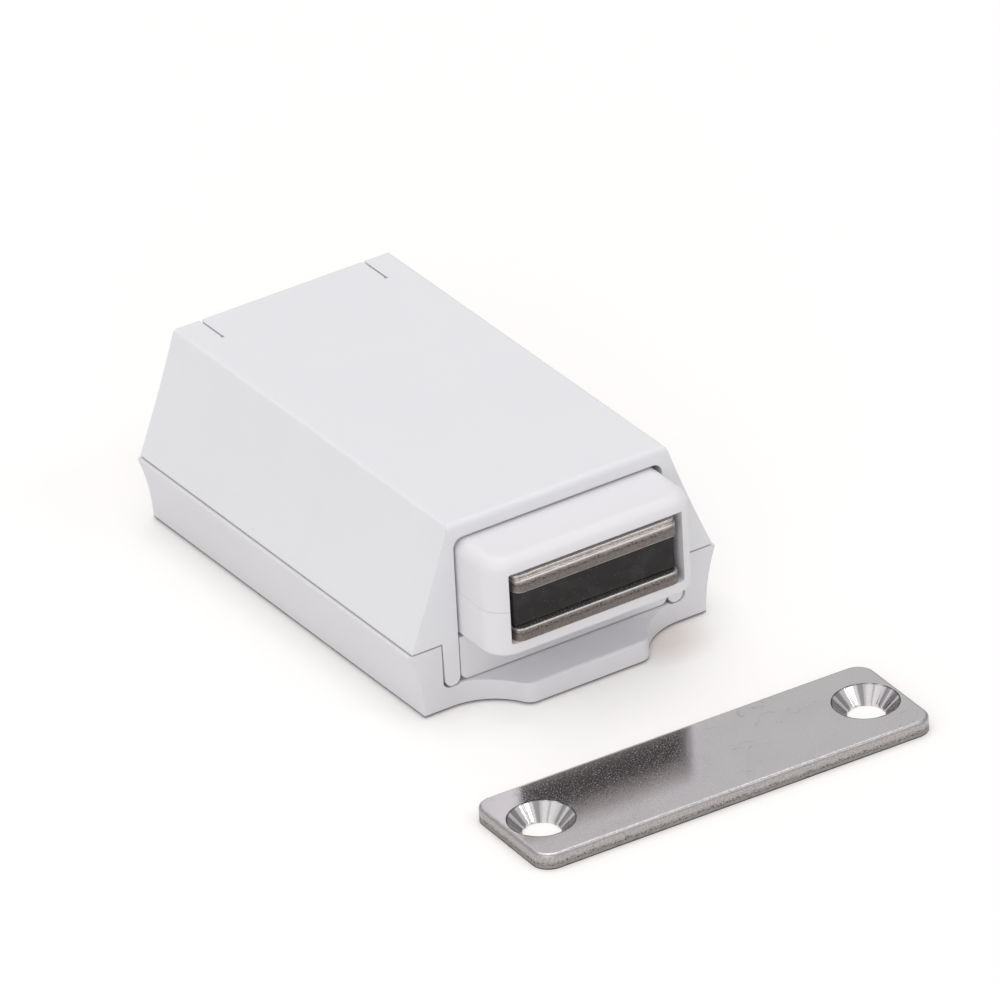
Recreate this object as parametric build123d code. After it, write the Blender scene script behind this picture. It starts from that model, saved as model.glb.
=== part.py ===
from build123d import *
import math
import os

# Magnetic touch latch with its strike plate, in millimetres.
# X runs across the latch, Y from its front face to the rear, Z up from the face
# that is screwed to the cabinet. The origin is on that face, at the front, in the
# middle. The plunger is modelled latched in, so its head stands a little proud.

# Housing, as seen from outside
length = 59.6
height = 24.35
lip_half = 21.5
lip_depth = 0.3
rim_inset = 0.35
flank_lean = 6.15
flank_hollow = 0.17
base_height = 8.9
base_lean = 1.65
base_hollow = 0.4
parting_gap = 0.2
foot_inset = 0.4
foot_height = 0.25
lip_round = 0.15
cover_edge_round = 0.5
cover_front_round = 0.8

# Walls
cover_wall = 1.5
base_wall = 1.6
floor_thick = 1.8
frame_floor = 1.2
frame_wall = 1.3
rear_wall = 1.2
fit_gap = 0.15
slide_gap = 0.25

# Tongue under the plunger, an ogee swept out of the base; the three points of its
# outline are given aside of and back from its front corner
tongue_reach = 5.2
tongue_half = 7.2
tongue_flare = 9.0
tongue_waist = (4.3, 3.85)
tongue_shoulder = (1.8, 1.15)
tongue_corner = (1.2, 0.35)
tongue_front_z = 3.0
tongue_dip_z = 2.9
tongue_round = 0.35

# Opening in the cover and the two legs beside it
opening_cheek = 0.69
opening_brow = 1.93
opening_round = 1.3
leg_width = 2.24
leg_taper = 0.18
leg_bottom = 3.1
leg_round = 1.0
panel_bottom = 3.38
panel_round = 1.0

# Snap flap at the rear of the cover
slit_inset = 3.72
slit_width = 0.25
slit_length = 5.0
slit_relief = 0.22
flap_round = 0.4
hook_inset = 3.63
hook_thick = 0.95
hook_drop = 3.9
catch_height = 1.2
catch_depth = 0.6
rib_gap = 0.45
rib_thick = 1.0
rib_drop = 1.5
rib_lead = 3.0
rib_root = 2.1

# Plunger
proud = 7.93
opening_gap = 0.31
head_lift = 0.5
head_rear = 14.0
seam_drop = 0.45
seam_groove = 0.12
head_corner = 3.2
head_top_round = 1.7
head_bottom_round = 0.5
shell_floor = 1.55
window_cheek = 2.2
window_brow = 1.81
window_depth = 3.0
window_round = 0.3
travel_out = 12.0
travel_in = 3.0

# Magnet and the plates that carry its field to the strike plate
pole_side_gap = 0.65
pole_thick = 1.75
pole_backing = 0.55
pole_proud = 0.2
backing_setback = 0.35
stack_gap = 0.55
stack_to_head_rear = 7.6
pole_corner = 1.2
pole_edge = 0.22
magnet_inset = 0.2
magnet_recess = 0.8
pad_thick = 1.4
pocket_gap = 0.1

# Tail of the plunger with the cam track in its underside
tail_thick = 3.0
tail_clear = 3.0
lug_reach = 2.0
lug_length = 3.0
lug_to_end = 1.5
lug_inset = 0.2
track_depth = 1.8
track_margin = 0.9
track_lane = 4.6
island_horn = 1.2

# Cam follower, a bent wire that swings about its rear end
wire_radius = 0.6
wire_bend = 1.1
follower_drop = 1.65
pin_lift = 0.6
tip_gap = 0.3
swing_per_mm = 0.0125
pin_fit = 0.06
pivot_to_wall = 6.5
follower_arm = 15.0
boss_radius = 2.6

# Leaf that holds the follower up
leaf_half = 2.5
leaf_thick = 0.3
leaf_foot = 4.4
leaf_ramp = 4.6
leaf_nose = 1.2
leaf_to_boss = 0.5
leaf_post_inset = 2.0
leaf_post_radius = 0.9
leaf_post_height = 0.9
leaf_gap = 0.1

# Return springs and the rods inside them
spring_mean_radius = 2.4
spring_wire = 0.6
spring_pitch = 2.6
spring_end_gap = 0.35
spring_bore_gap = 0.5
spigot_length = 2.0
rod_clear = 7.0

# Guide frame
guide_height = 6.6
step_thick = 1.5
rail_x = 10.0
rail_thick = 1.2
spring_wall_inset = 14.6
spring_wall_thick = 2.0
tray_gap = 0.3
ear_inset = 0.5
ear_ahead = 1.5
ear_radius = 2.5
ear_z = 5.5
ear_thick = 1.4
frame_boss_radius = 2.3
bump_radius = 2.0
bump_thick = 2.2
bump_gap = 0.3
bump_below_top = 0.4

# Screws inside the latch
frame_screw_radius = 1.1
frame_screw_head = 2.1
frame_screw_head_height = 1.4
frame_screw_end = 1.5
shell_screw_radius = 1.0
shell_screw_head = 1.8
shell_screw_head_height = 1.4
shell_screw_inset = 3.35
shell_screw_to_rear = 3.0
shell_screw_bite = 3.2
screw_gap = 0.15
thread_gap = 0.02

# Holes for the screws that hold the latch to the cabinet
mount_hole_radius = 2.2
mount_sink_radius = 4.0
mount_ring_width = 0.5
mount_ring_height = 0.8
mount_ring_bite = 0.15
mount_ring_clear = 1.5

# Strike plate
strike_length = 54.0
strike_width = 15.7
strike_thick = 2.0
strike_corner = 2.3
strike_edge = 0.35
strike_hole_inset = 4.7
strike_hole_radius = 2.3
strike_sink_radius = 4.0
strike_x = -0.87
strike_y = -30.44
strike_turn = -1.72

# Lengths that only serve the drawing: how far a cut runs past a face, and how
# close a point lies to a face that it is on
cut = 1.0
near = 0.01

# Values that follow from the ones above, for the housing
cover_bottom = base_height + parting_gap
rim_half = lip_half - rim_inset
floor_half = lip_half - base_lean
top_half = lip_half - flank_lean
roof_inside = height - cover_wall
seat_z = floor_thick
frame_floor_top = seat_z + frame_floor
opening_half = top_half - opening_cheek
opening_top = height - opening_brow
leg_outer = opening_half + leg_width
slit_half = top_half - slit_inset
hook_half = slit_half - hook_inset
hook_bottom = base_height - hook_drop
hook_rear = length - base_wall - fit_gap

# For the plunger and its magnet
head_half = opening_half - opening_gap
head_bottom = base_height + head_lift
head_top = opening_top - opening_gap
seam_z = (head_bottom + head_top) / 2 - seam_drop
front_y = -proud
window_half = head_half - window_cheek
window_top = head_top - window_brow
pole_half = window_half - pole_side_gap
pole_front = front_y - pole_proud
pole_rear = head_rear - stack_to_head_rear
pole_bottom = head_bottom + shell_floor
backing_top = window_top - stack_gap
backing_bottom = backing_top - pole_backing
magnet_bottom = pole_bottom + pole_thick
magnet_top = backing_bottom - pole_thick
magnet_half = pole_half - magnet_inset
magnet_front = front_y + magnet_recess
magnet_rear = pole_rear
pad_front = pole_rear + pocket_gap
pocket_rear = pad_front + pad_thick + pocket_gap
shell_screw_x = head_half - shell_screw_inset
shell_screw_y = head_rear - shell_screw_to_rear
shell_screw_end = seam_z + shell_screw_bite

# For the guide frame, the cabinet screws and what runs in the frame
frame_front = max(base_wall, cover_wall) + fit_gap
frame_half = head_half + slide_gap + frame_wall
frame_top = head_bottom + guide_height
frame_step = head_rear + travel_in + bump_gap + bump_thick
step_rear = frame_step + step_thick
mount_ring_radius = mount_sink_radius + mount_ring_width
mount_x = floor_half - base_wall - mount_ring_radius + mount_ring_bite
mount_front = step_rear + mount_ring_radius + mount_ring_clear
mount_rear = length - base_wall - mount_ring_radius - mount_ring_clear
spring_wall_front = length - spring_wall_inset
spring_wall_rear = spring_wall_front + spring_wall_thick
rear_half = mount_x - mount_ring_radius - tray_gap
tail_half = rear_half - rear_wall - slide_gap
tail_top = head_bottom + tail_thick
tail_end = spring_wall_front - travel_in - tail_clear
lug_rear = tail_end - lug_to_end
lug_front = lug_rear - lug_length
ear_x = rear_half + ear_radius + ear_inset
ear_y = (mount_front + mount_rear) / 2 - ear_ahead
bump_x = (tail_half + slide_gap + frame_half) / 2
bump_z = frame_top - bump_radius - bump_below_top

# For the follower, its leaf and the springs
follower_z = head_bottom - follower_drop
pivot_y = spring_wall_front - pivot_to_wall
track_rest = pivot_y - follower_arm
pin_bottom = frame_floor_top + pin_lift
tip_top = head_bottom + track_depth - tip_gap
leaf_rear = pivot_y - boss_radius - leaf_to_boss
leaf_bend = leaf_rear - leaf_foot
leaf_crest = leaf_bend - leaf_ramp
leaf_front = leaf_crest - leaf_nose
leaf_post = leaf_rear - leaf_post_inset
spring_x = rear_half / 2
spring_z = (seam_z + head_top) / 2
spring_core = spring_mean_radius - spring_wire / 2 - spring_bore_gap
spring_wall_top = spring_z + spring_mean_radius
rod_front = head_rear + spigot_length + travel_in + rod_clear


def block(x0, x1, y0, y1, z0, z1):
    """A box between two corners."""
    size = (x1 - x0, y1 - y0, z1 - z0)
    centre = ((x0 + x1) / 2, (y0 + y1) / 2, (z0 + z1) / 2)
    return Pos(*centre) * Box(*size)


def rod(radius, x, y, z0, z1):
    """An upright cylinder."""
    return Pos(x, y, (z0 + z1) / 2) * Cylinder(radius, z1 - z0)


def rod_along_y(radius, x, z, y0, y1):
    """A cylinder that lies along the latch."""
    return Pos(x, (y0 + y1) / 2, z) * Rot(90, 0, 0) * Cylinder(radius, y1 - y0)


def along_y(face, y0, y1):
    """Runs a face drawn as (x, z) from y0 to y1."""
    plane = Plane(origin=(0, y0, 0), x_dir=(1, 0, 0), z_dir=(0, -1, 0))
    return extrude(plane * face, amount=-(y1 - y0))


def along_x(face, x0, x1):
    """Runs a face drawn as (y, z) from x0 to x1."""
    plane = Plane(origin=(x0, 0, 0), x_dir=(0, 1, 0), z_dir=(1, 0, 0))
    return extrude(plane * face, amount=x1 - x0)


def along_z(face, z0, z1):
    """Runs a face drawn as (x, y) from z0 to z1."""
    return extrude(Plane.XY.offset(z0) * face, amount=z1 - z0)


def flanked(low_half, low_z, high_half, high_z, hollow):
    """A section with a flat bottom and top and flanks that are hollowed by a little."""
    waist_half = (low_half + high_half) / 2 - hollow
    waist_z = (low_z + high_z) / 2
    right = ThreePointArc((low_half, low_z), (waist_half, waist_z), (high_half, high_z))
    left = ThreePointArc((-high_half, high_z), (-waist_half, waist_z), (-low_half, low_z))
    top = Line(right @ 1, left @ 0)
    bottom = Line(left @ 1, right @ 0)
    return make_face([right, top, left, bottom])


def on_both_sides(solid):
    """The solid and its mirror image across the middle of the latch."""
    return solid + mirror(solid, Plane.YZ)


def edges_near(solid, axis, test):
    """The straight edges along an axis whose middle passes a test."""
    found = []
    for edge in solid.edges().filter_by(axis):
        middle = edge.center()
        if test(middle):
            found.append(edge)
    return found


def round_ended(x0, x1, z_low, z_high, radius):
    """A face drawn as (x, z), upright, with its two lower corners rounded."""
    sketch = Pos((x0 + x1) / 2, (z_low + z_high) / 2) * Rectangle(x1 - x0, z_high - z_low)
    lower = sketch.vertices().sort_by(Axis.Y)[:2]
    return fillet(lower, radius)


def tongue_plan():
    """The right half of the tongue's outline, drawn as (x, y)."""
    root = tongue_half + tongue_flare
    waist, shoulder, corner = [
        (tongue_half + aside, back - tongue_reach)
        for aside, back in (tongue_waist, tongue_shoulder, tongue_corner)
    ]
    sweep_right = ThreePointArc((root, 0), waist, shoulder)
    corner_right = ThreePointArc(shoulder, corner, (tongue_half, -tongue_reach))
    front = Line((tongue_half, -tongue_reach), (0, -tongue_reach))
    back = Line((0, base_wall), (root, base_wall))
    middle = Line((0, -tongue_reach), (0, base_wall))
    side = Line((root, base_wall), (root, 0))
    return make_face([sweep_right, corner_right, front, middle, back, side])


def foot_rebate():
    """The rebate round the bottom edge, which keeps the outline clear of the cabinet."""
    half = tongue_plan()
    plan = Pos(0, length / 2) * Rectangle(2 * floor_half, length)
    plan += half + mirror(half, Plane.YZ)
    foot = along_z(offset(plan, amount=-foot_inset), -cut, foot_height)
    return block(-lip_half, lip_half, -tongue_reach - cut, length + cut, -cut, foot_height) - foot


def tongue():
    """The tongue that runs out under the plunger from an ogee on each side."""
    plan = along_z(tongue_plan(), 0, panel_bottom)
    dip = ThreePointArc(
        (0, panel_bottom - fit_gap),
        (-tongue_reach / 2, tongue_dip_z),
        (tongue_round - tongue_reach, tongue_front_z),
    )
    inset = tongue_round * (1 - math.sin(math.pi / 4))
    edge_z = tongue_front_z - tongue_round
    nose = ThreePointArc(
        dip @ 1,
        (inset - tongue_reach, tongue_front_z - inset),
        (-tongue_reach, edge_z),
    )
    over = Polyline(
        nose @ 1,
        (-tongue_reach - cut, edge_z),
        (-tongue_reach - cut, panel_bottom + cut),
        (0, panel_bottom + cut),
        dip @ 0,
    )
    plan -= along_x(make_face([dip, nose, over]), -cut, lip_half)
    return on_both_sides(plan)


def base():
    """The moulding that is screwed to the cabinet."""
    outer = flanked(floor_half, 0, lip_half, base_height - lip_depth, base_hollow)
    body = along_y(outer, 0, length)
    body += block(-lip_half, lip_half, 0, length, base_height - lip_depth, base_height)
    body = fillet(edges_near(body, Axis.Y, lambda p: p.Z > base_height - near), lip_round)
    inner = flanked(
        floor_half - base_wall,
        floor_thick,
        lip_half - base_wall,
        base_height,
        base_hollow,
    )
    body -= along_y(inner, base_wall, length - base_wall)
    body += tongue()
    body -= foot_rebate()
    leg_slot = round_ended(
        opening_half - 2 * fit_gap,
        leg_outer + fit_gap,
        leg_bottom - fit_gap,
        base_height + cut,
        leg_round,
    )
    body -= on_both_sides(along_y(leg_slot, -cut, base_wall))
    body -= block(
        -opening_half,
        opening_half,
        -cut,
        base_wall,
        panel_bottom - fit_gap,
        base_height + cut,
    )
    body -= block(
        -hook_half - slide_gap,
        hook_half + slide_gap,
        length - base_wall - cut,
        length - base_wall + catch_depth + fit_gap,
        hook_bottom + fit_gap,
        hook_bottom + fit_gap + catch_height + 2 * slide_gap,
    )
    boss = rod(frame_boss_radius, ear_x, ear_y, floor_thick / 2, ear_z)
    body += on_both_sides(boss)
    bore_bottom = frame_screw_end - screw_gap
    bore = rod(frame_screw_radius + thread_gap, ear_x, ear_y, bore_bottom, ear_z + cut)
    body -= on_both_sides(bore)
    for y in (mount_front, mount_rear):
        ring = rod(mount_ring_radius, mount_x, y, floor_thick / 2, floor_thick + mount_ring_height)
        body += on_both_sides(ring)
    for y in (mount_front, mount_rear):
        body -= on_both_sides(mount_hole(y))
    return body


def mount_hole(y):
    """A countersunk hole for a cabinet screw, cut from above."""
    top = floor_thick + mount_ring_height
    sink = mount_sink_radius - mount_hole_radius
    shank = rod(mount_hole_radius, mount_x, y, -cut, top + cut)
    cone = Pos(mount_x, y, top - sink / 2) * Cone(mount_hole_radius, mount_sink_radius, sink)
    return shank + cone


def cover():
    """The clip-on cover, with its two legs at the front and its flap at the rear."""
    section = flanked(rim_half, cover_bottom, top_half, height, flank_hollow)
    section = fillet(section.vertices().sort_by(Axis.Y)[-2:], cover_edge_round)
    side = Pos(length / 2, (cover_bottom + height) / 2) * Rectangle(length, height - cover_bottom)
    side = fillet(side.vertices().sort_by(Axis.Y)[-2:].sort_by(Axis.X)[:1], cover_front_round)
    body = along_y(section, 0, length) & along_x(side, -lip_half, lip_half)
    hollow = flanked(
        rim_half - cover_wall,
        cover_bottom,
        top_half - cover_wall,
        roof_inside,
        flank_hollow,
    )
    body -= along_y(hollow, cover_wall, length - cover_wall)
    body -= along_y(opening_face(), -cut, cover_wall + cut)
    body += on_both_sides(cover_leg())
    body += on_both_sides(side_rib())
    body += flap_hook()
    body += block(
        -rear_half,
        rear_half,
        spring_wall_front + slide_gap,
        spring_wall_rear - slide_gap,
        spring_wall_top,
        height - cover_wall / 2,
    )
    body -= on_both_sides(flap_slit())
    return fillet(edges_near(body, Axis.Z, on_flap_corner), flap_round)


def on_flap_corner(point):
    """Whether a point lies on one of the flap's two outer corners."""
    flap_side = slit_half - slit_width / 2
    return point.Y > length - near and abs(abs(point.X) - flap_side) < near


def opening_face():
    """The opening for the plunger, open at the bottom, rounded at its top corners."""
    face = Pos(0, opening_top / 2) * Rectangle(2 * opening_half, opening_top)
    upper = face.vertices().sort_by(Axis.Y)[-2:]
    return fillet(upper, opening_round)


def cover_leg():
    """The right leg, which drops into its slot in the front of the base."""
    outline = Polyline(
        (opening_half, cover_bottom + cut),
        (opening_half, leg_bottom),
        (leg_outer - leg_taper, leg_bottom),
        (leg_outer, cover_bottom),
        (leg_outer, cover_bottom + cut),
        close=True,
    )
    face = make_face(outline)
    lower = face.vertices().sort_by(Axis.Y)[:2]
    return along_y(fillet(lower, leg_round), 0, cover_wall)


def side_rib():
    """The rib inside the right flank that drops into the base and centres the cover."""
    outer = rim_half - cover_wall - rib_gap
    return block(
        outer - rib_thick,
        outer,
        rib_lead,
        length - rib_lead,
        cover_bottom - rib_drop,
        cover_bottom + rib_root,
    )


def flap_hook():
    """The hook below the flap that catches inside the base's rear wall."""
    front = hook_rear - hook_thick
    top = cover_bottom + rib_root
    root = block(-hook_half, hook_half, front, length - cover_wall / 2, cover_bottom, top)
    stem = block(-hook_half, hook_half, front, hook_rear, hook_bottom, top)
    low = hook_bottom + 2 * fit_gap
    catch = Polyline(
        (hook_rear, low),
        (hook_rear + catch_depth, low + catch_height),
        (hook_rear, low + catch_height),
        close=True,
    )
    return root + stem + along_x(make_face(catch), -hook_half, hook_half)


def flap_slit():
    """The right slit beside the flap, with a small round end that keeps it from tearing."""
    inner = slit_half - slit_width / 2
    outer = slit_half + slit_width / 2
    front = length - slit_length
    slit = block(inner, outer, front, length + cut, cover_bottom - cut, height + cut)
    return slit + rod(slit_relief, slit_half, front, roof_inside - cut, height + cut)


def guide_frame():
    """The tray in the housing that the plunger runs in, with the front panel below it."""
    inner = head_half + slide_gap
    front_rear = frame_front + frame_wall
    run_z = head_bottom - slide_gap
    body = block(-frame_half, frame_half, frame_front, step_rear, seat_z, frame_floor_top)
    panel = round_ended(
        fit_gap - opening_half,
        opening_half - fit_gap,
        panel_bottom,
        run_z,
        panel_round,
    )
    body += along_y(panel, 0, front_rear)
    body += block(-frame_half, frame_half, frame_front, front_rear, seat_z, run_z)
    wall = block(inner, frame_half, frame_front, step_rear, seat_z, frame_top)
    rail_inner = rail_x - rail_thick / 2
    rail = block(rail_inner, rail_inner + rail_thick, frame_front, frame_step, seat_z, run_z)
    step = block(tail_half + slide_gap, frame_half, frame_step, step_rear, seat_z, frame_top)
    body += on_both_sides(wall + rail + step)
    body += rear_tray()
    body += rod(boss_radius, 0, pivot_y, seat_z, follower_z - wire_bend - fit_gap)
    body -= rod(wire_radius + pin_fit, 0, pivot_y, pin_bottom - tip_gap, follower_z)
    body += rod(leaf_post_radius, 0, leaf_post, seat_z, frame_floor_top + leaf_post_height)
    return body


def rear_tray():
    """The narrow rear half of the guide frame, with the wall that the springs push on."""
    end = spring_wall_rear
    inner = rear_half - rear_wall
    body = block(-rear_half, rear_half, frame_step, end, seat_z, frame_floor_top)
    wall = block(inner, rear_half, frame_step, end, seat_z, frame_top)
    slot = block(
        inner - cut,
        rear_half + cut,
        step_rear + slide_gap,
        lug_rear + travel_in + 2 * slide_gap,
        head_bottom - slide_gap,
        tail_top + slide_gap,
    )
    ear_top = ear_z + ear_thick
    ear = rod(ear_radius, ear_x, ear_y, ear_z, ear_top)
    ear += block(inner, ear_x, ear_y - ear_radius, ear_y + ear_radius, ear_z, ear_top)
    hole = rod(frame_screw_radius + screw_gap, ear_x, ear_y, ear_z - cut, ear_top + cut)
    body += on_both_sides(wall - slot + ear - hole)
    body += block(-rear_half, rear_half, spring_wall_front, end, seat_z, spring_wall_top)
    bore = spring_core + thread_gap
    rod_hole = rod_along_y(bore, spring_x, spring_z, spring_wall_front - cut, end + cut)
    body -= on_both_sides(rod_hole)
    return body


def plunger_head():
    """The outside of the plunger's head before it is split into two shells."""
    depth = head_rear - front_y
    plan = Pos(0, (head_rear + front_y) / 2) * Rectangle(2 * head_half, depth)
    front_corners = plan.vertices().sort_by(Axis.Y)[:2]
    plan = fillet(front_corners, head_corner)
    body = along_z(plan, head_bottom, head_top)
    top = [e for e in ahead_of_rear(body) if e.center().Z > head_top - near]
    body = fillet(top, head_top_round)
    bottom = [e for e in ahead_of_rear(body) if e.center().Z < head_bottom + near]
    return fillet(bottom, head_bottom_round)


def ahead_of_rear(body):
    """The edges of the plunger's head that aren't on its rear face."""
    return [e for e in body.edges() if e.center().Y < head_rear - near]


def magnet_room():
    """The window in the front of the head and the pocket behind it."""
    face = Pos(0, (pole_bottom + window_top) / 2) * Rectangle(2 * window_half, window_top - pole_bottom)
    face = fillet(face.vertices(), window_round)
    window = along_y(face, front_y - cut, front_y + window_depth)
    pocket = block(
        -pole_half - pocket_gap,
        pole_half + pocket_gap,
        front_y + window_depth - cut / 2,
        pocket_rear,
        pole_bottom,
        backing_top + pocket_gap / 2,
    )
    hollow = block(
        -shell_screw_x + shell_screw_head + frame_wall,
        shell_screw_x - shell_screw_head - frame_wall,
        pocket_rear + frame_wall,
        head_rear - cover_wall,
        pole_bottom,
        window_top,
    )
    return window + pocket + hollow


def shell_screw_room():
    """Where one screw passes the lower shell and bites in the upper one."""
    head = rod(
        shell_screw_head + screw_gap,
        shell_screw_x,
        shell_screw_y,
        head_bottom - cut,
        head_bottom + shell_screw_head_height,
    )
    passage = rod(shell_screw_radius + screw_gap, shell_screw_x, shell_screw_y, head_bottom, seam_z)
    bite = rod(
        shell_screw_radius + thread_gap,
        shell_screw_x,
        shell_screw_y,
        seam_z - fit_gap,
        shell_screw_end + screw_gap,
    )
    return head + passage + bite


def plunger_upper_shell():
    """The upper half of the head, which the springs push on."""
    body = plunger_head() & block(-lip_half, lip_half, front_y - cut, head_rear, seam_z, height)
    body -= magnet_room()
    body -= on_both_sides(shell_screw_room())
    end = head_rear + spigot_length
    spigot = rod_along_y(spring_core, spring_x, spring_z, head_rear - cut, end)
    return body + on_both_sides(spigot)


def plunger_lower_shell():
    """The lower half of the head, moulded in one with the tail and its cam track."""
    below_seam = block(-lip_half, lip_half, front_y - cut, head_rear, head_bottom - cut, seam_z)
    body = plunger_head() & below_seam
    rim = [e for e in ahead_of_rear(body) if e.center().Z > seam_z - near]
    body = chamfer(rim, seam_groove)
    body -= magnet_room()
    body += block(-tail_half, tail_half, head_rear - cut, tail_end, head_bottom, tail_top)
    lug = block(
        tail_half - cut,
        tail_half + lug_reach,
        lug_front,
        lug_rear,
        head_bottom + lug_inset,
        tail_top - lug_inset,
    )
    body += on_both_sides(lug)
    body -= on_both_sides(shell_screw_room())
    return body - cam_track()


def tip_x(shift):
    """How far aside the follower's tip stands when the plunger has moved out by shift."""
    return follower_arm * math.sin(swing_per_mm * shift)


def tip_in_plunger(shift, aside):
    """A place beside the follower's tip, seen from the plunger, at a given travel."""
    swing = swing_per_mm * shift
    back = follower_arm * (1 - math.cos(swing))
    return (tip_x(shift) + aside, track_rest + back + shift)


def cam_track():
    """The track in the tail's underside: two lanes round a heart-shaped island."""
    side = wire_radius + track_margin / 2
    front = -travel_in - side
    rear = travel_out + side
    outline = Polyline(
        tip_in_plunger(front, side),
        tip_in_plunger(rear, side),
        tip_in_plunger(rear, -side),
        tip_in_plunger(travel_out - 2 * track_lane, -track_lane - side),
        tip_in_plunger(front + side, -track_lane - side),
        tip_in_plunger(front, -track_lane),
        close=True,
    )
    track = along_z(make_face(outline), head_bottom - cut, head_bottom + track_depth)
    gap = wire_radius + slide_gap
    island = Polyline(
        tip_in_plunger(island_horn, -gap),
        tip_in_plunger(travel_out - track_lane / 2, -gap),
        tip_in_plunger(travel_out - 2 * track_lane, gap - track_lane),
        tip_in_plunger(island_horn / 2, gap - track_lane),
        tip_in_plunger(2 * island_horn, -track_lane / 2),
        close=True,
    )
    return track - along_z(make_face(island), head_bottom, head_bottom + track_depth)


def cam_follower():
    """The bent wire whose tip rides in the cam track."""
    route = FilletPolyline(
        (0, pivot_y, pin_bottom),
        (0, pivot_y, follower_z),
        (0, track_rest, follower_z),
        (0, track_rest, tip_top),
        radius=wire_bend,
    )
    section = Plane(origin=route @ 0, z_dir=route % 0) * Circle(wire_radius)
    return sweep(section, path=route)


def follower_leaf_spring():
    """The steel leaf on the frame's floor that keeps the follower up in the track."""
    foot_z = frame_floor_top + leaf_thick / 2
    crest_z = follower_z - wire_radius - leaf_gap - leaf_thick / 2
    nose_z = crest_z - leaf_nose * (crest_z - foot_z) / leaf_ramp
    foot = Line((leaf_rear, foot_z), (leaf_bend, foot_z))
    ramp = Line((leaf_bend, foot_z), (leaf_crest, crest_z))
    nose = Line((leaf_crest, crest_z), (leaf_front, nose_z))
    strip = offset(Wire([foot, ramp, nose]), amount=leaf_thick / 2, side=Side.BOTH)
    leaf = along_x(make_face(strip), -leaf_half, leaf_half)
    return leaf - rod(leaf_post_radius + fit_gap, 0, leaf_post, 0, follower_z)


def coil_spring(x):
    """A return spring between the plunger and the frame's rear wall."""
    start = head_rear + spring_end_gap
    free = spring_wall_front - spring_end_gap - start
    centre = (x, start, spring_z)
    path = Helix(
        pitch=spring_pitch,
        height=free,
        radius=spring_mean_radius,
        center=centre,
        direction=(0, 1, 0),
    )
    section = Plane(origin=path @ 0, z_dir=path % 0) * Circle(spring_wire / 2)
    return sweep(section, path=path, is_frenet=True)


def spring_rod(x):
    """The steel rod that keeps a spring straight, pressed into the frame's rear wall."""
    return rod_along_y(spring_core, x, spring_z, rod_front, spring_wall_rear)


def pole_plate(front, rear, z0, z1):
    """A stamped plate with rounded front corners and softened edges."""
    plan = Pos(0, (front + rear) / 2) * Rectangle(2 * pole_half, rear - front)
    plan = fillet(plan.vertices().sort_by(Axis.Y)[:2], pole_corner)
    body = along_z(plan, z0, z1)
    outline = []
    for edge in body.edges():
        flat = abs(edge.center().Z - (z0 + z1) / 2) > near
        if flat and edge.center().Y < rear - near:
            outline.append(edge)
    return fillet(outline, pole_edge)


def magnet():
    """The ferrite block between the pole plates."""
    return block(-magnet_half, magnet_half, magnet_front, magnet_rear, magnet_bottom, magnet_top)


def magnet_pad():
    """The rubber pad behind the magnet, which lets it settle flat on the strike plate."""
    return block(-pole_half, pole_half, pad_front, pad_front + pad_thick, pole_bottom, backing_top)


def bump_pads():
    """The two rubber discs that the plunger meets when it is pushed right in."""
    disc = rod_along_y(bump_radius, bump_x, bump_z, head_rear + travel_in + bump_gap, frame_step)
    return on_both_sides(disc)


def pan_screw(x, y, head_z, head_height, head_radius, radius, end_z):
    """A small upright screw whose head starts at head_z; its thread is left smooth."""
    step = head_height if end_z < head_z else -head_height
    low, high = sorted((head_z, head_z + step))
    head = rod(head_radius, x, y, low, high)
    low, high = sorted((head_z, end_z))
    return head + rod(radius, x, y, low, high)


def frame_screws():
    """The two screws that hold the guide frame to the base."""
    screw = pan_screw(
        ear_x,
        ear_y,
        ear_z + ear_thick,
        frame_screw_head_height,
        frame_screw_head,
        frame_screw_radius,
        frame_screw_end,
    )
    return on_both_sides(screw)


def shell_screws():
    """The two screws that close the plunger's shells from below."""
    screw = pan_screw(
        shell_screw_x,
        shell_screw_y,
        head_bottom + shell_screw_head_height,
        shell_screw_head_height,
        shell_screw_head,
        shell_screw_radius,
        shell_screw_end,
    )
    return on_both_sides(screw)


def strike_plate():
    """The countersunk steel plate for the door, lying in front of the latch."""
    plan = fillet(Rectangle(strike_length, strike_width).vertices(), strike_corner)
    body = extrude(plan, amount=strike_thick)
    top = [e for e in body.edges() if e.center().Z > strike_thick - near]
    body = fillet(top, strike_edge)
    sink = strike_sink_radius - strike_hole_radius
    for side in (-1, 1):
        x = side * (strike_length / 2 - strike_hole_inset)
        body -= Pos(x, 0, strike_thick / 2) * Cylinder(strike_hole_radius, strike_thick + 2 * cut)
        body -= Pos(x, 0, strike_thick - sink / 2) * Cone(strike_hole_radius, strike_sink_radius, sink)
    return Pos(strike_x, strike_y, 0) * Rot(0, 0, strike_turn) * body


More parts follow.
